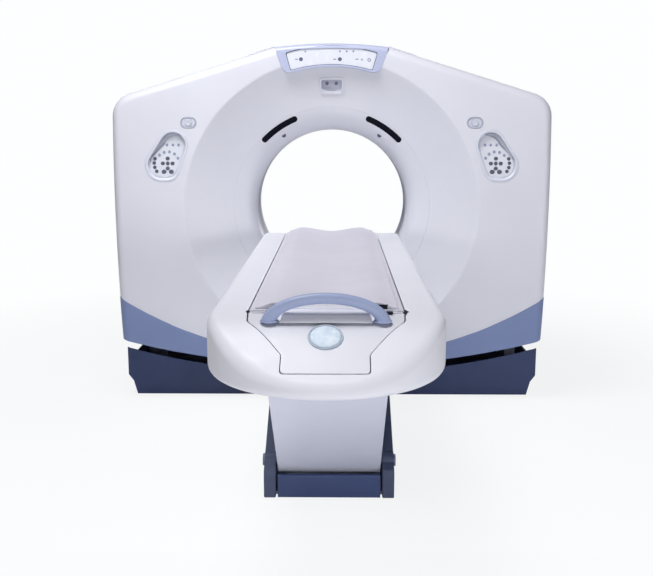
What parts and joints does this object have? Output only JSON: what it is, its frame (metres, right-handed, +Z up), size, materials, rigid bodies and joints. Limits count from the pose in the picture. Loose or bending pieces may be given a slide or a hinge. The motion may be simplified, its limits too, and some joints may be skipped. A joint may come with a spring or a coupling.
{
  "type": "ct scanner",
  "caption": "Tilting computed tomography scanner with a turning x-ray ring inside a flared bore and a patient table whose cradle slides into it.",
  "frame": {"origin": "on the floor, under the centre of the gantry's bore", "axes": "+Z up, +Y along the bore away from the foot of the table, +X to the right seen from the foot of the table"},
  "size_m": [2.246, 3.3248, 1.88],
  "materials": {
    "cover_white": "satin moulded",
    "flare_white": "satin moulded",
    "band_blue": "satin moulded",
    "base_navy": "fine textured",
    "frame_grey": "powder coated",
    "steel": "machined",
    "cast": "painted",
    "alloy": "machined",
    "brass": "machined",
    "rubber": "moulded",
    "lavender": "satin",
    "panel_pale": "gloss",
    "dark_window": "gloss",
    "clear_film": "satin film",
    "lilac": "satin",
    "cradle_pale": "satin composite",
    "handle_blue": "satin",
    "badge_blue": "gloss"
  },
  "bodies": {
    "base": {"gantry_base_frame": "frame_grey", "gantry_feet": "rubber", "base_covers": "base_navy", "base_side_covers": "base_navy", "tilt_towers": "frame_grey", "tilt_bearings": "steel", "tilt_gearbox": "cast", "table_base": "frame_grey", "table_cheeks": "frame_grey", "kick_cover": "base_navy", "pivot_pins": "steel", "lift_screw_housing": "alloy", "floor_duct": "base_navy"},
    "gantry": {"tilt_frame": "alloy", "trunnions": "steel", "cover_rails": "alloy", "gantry_front_cover": "cover_white", "gantry_rear_cover": "cover_white", "gantry_side_covers": "cover_white", "gantry_top_cover": "cover_white", "lower_bands": "band_blue", "front_flare": "flare_white", "front_bore_liner": "flare_white", "scan_window": "clear_film", "rear_bore_liner": "flare_white", "display_bezel": "lavender", "display_panel": "panel_pale", "intercom": "flare_white", "laser_windows": "dark_window", "control_bezels": "lavender", "control_membranes": "panel_pale", "bearing_outer_race": "steel", "brush_block": "dark_window", "rotor_motor": "cast", "rotor_belt": "rubber"},
    "call_left": {"call_button_left": "panel_pale"},
    "call_right": {"call_button_right": "panel_pale"},
    "pulley": {"motor_pulley": "alloy"},
    "rotor": {"rotor_disc": "alloy", "bearing_inner_race": "steel", "bearing_rollers": "steel", "slip_ring": "brass", "xray_tube": "alloy", "collimator": "cast", "high_voltage_unit": "alloy", "heat_exchanger": "alloy", "counterweight": "cast", "detector_arc": "alloy"},
    "front_leg": {"front_leg": "frame_grey", "front_leg_cover": "lilac"},
    "rear_leg": {"rear_leg": "frame_grey"},
    "lift_rod": {"lift_rod": "steel"},
    "table_top": {"table_frame": "alloy", "deck_cover": "cover_white", "deck_pan": "lilac", "cradle_rails": "steel"},
    "cradle": {"cradle": "cradle_pale", "foot_panel": "cradle_pale", "handle": "handle_blue", "badge": "badge_blue"}
  },
  "joints": [
    {"name": "gantry_tilt", "type": "hinge", "parent": "base", "child": "gantry", "pos_m": [0, 0, 1.05], "axis": [1, 0, 0], "range_deg": [-20, 20]},
    {"name": "rotor_spin", "type": "hinge", "parent": "gantry", "child": "rotor", "pos_m": [0, 0, 1.05], "axis": [0, 1, 0], "continuous": true},
    {"name": "pulley_spin", "type": "hinge", "parent": "gantry", "child": "pulley", "pos_m": [0.77961, 0, 0.44962], "axis": [0, 1, 0], "continuous": true},
    {"name": "call_press_left", "type": "slide", "parent": "gantry", "child": "call_left", "axis": [0, 1, 0], "range_m": [0, 0.0035], "stiffness_N_per_m": 900, "springref_m": -0.001},
    {"name": "call_press_right", "type": "slide", "parent": "gantry", "child": "call_right", "axis": [0, 1, 0], "range_m": [0, 0.0035], "stiffness_N_per_m": 900, "springref_m": -0.001},
    {"name": "table_lift", "type": "hinge", "parent": "base", "child": "front_leg", "pos_m": [0, -1.62, 0.135], "axis": [-1, 0, 0], "range_deg": [-30, 0]},
    {"name": "rear_leg_swing", "type": "hinge", "parent": "base", "child": "rear_leg", "pos_m": [0, -1, 0.135], "axis": [-1, 0, 0], "range_deg": [-30, 0]},
    {"name": "table_level", "type": "hinge", "parent": "front_leg", "child": "table_top", "pos_m": [0, -2.21998, 0.73498], "axis": [-1, 0, 0], "range_deg": [0, 30]},
    {"name": "lift_rod_slide", "type": "slide", "parent": "base", "child": "lift_rod", "axis": [0, 1, 0], "range_m": [-0.0625, 0]},
    {"name": "cradle_slide", "type": "slide", "parent": "table_top", "child": "cradle", "axis": [0, 1, 0], "range_m": [0, 1.5]}
  ],
  "couplings": [
    {"joint": "pulley_spin", "follows": "rotor_spin", "ratio": 10.333},
    {"joint": "rear_leg_swing", "follows": "table_lift", "ratio": 1},
    {"joint": "table_level", "follows": "table_lift", "ratio": -1},
    {"joint": "lift_rod_slide", "follows": "table_lift", "m_per_rad": 0.1186}
  ]
}
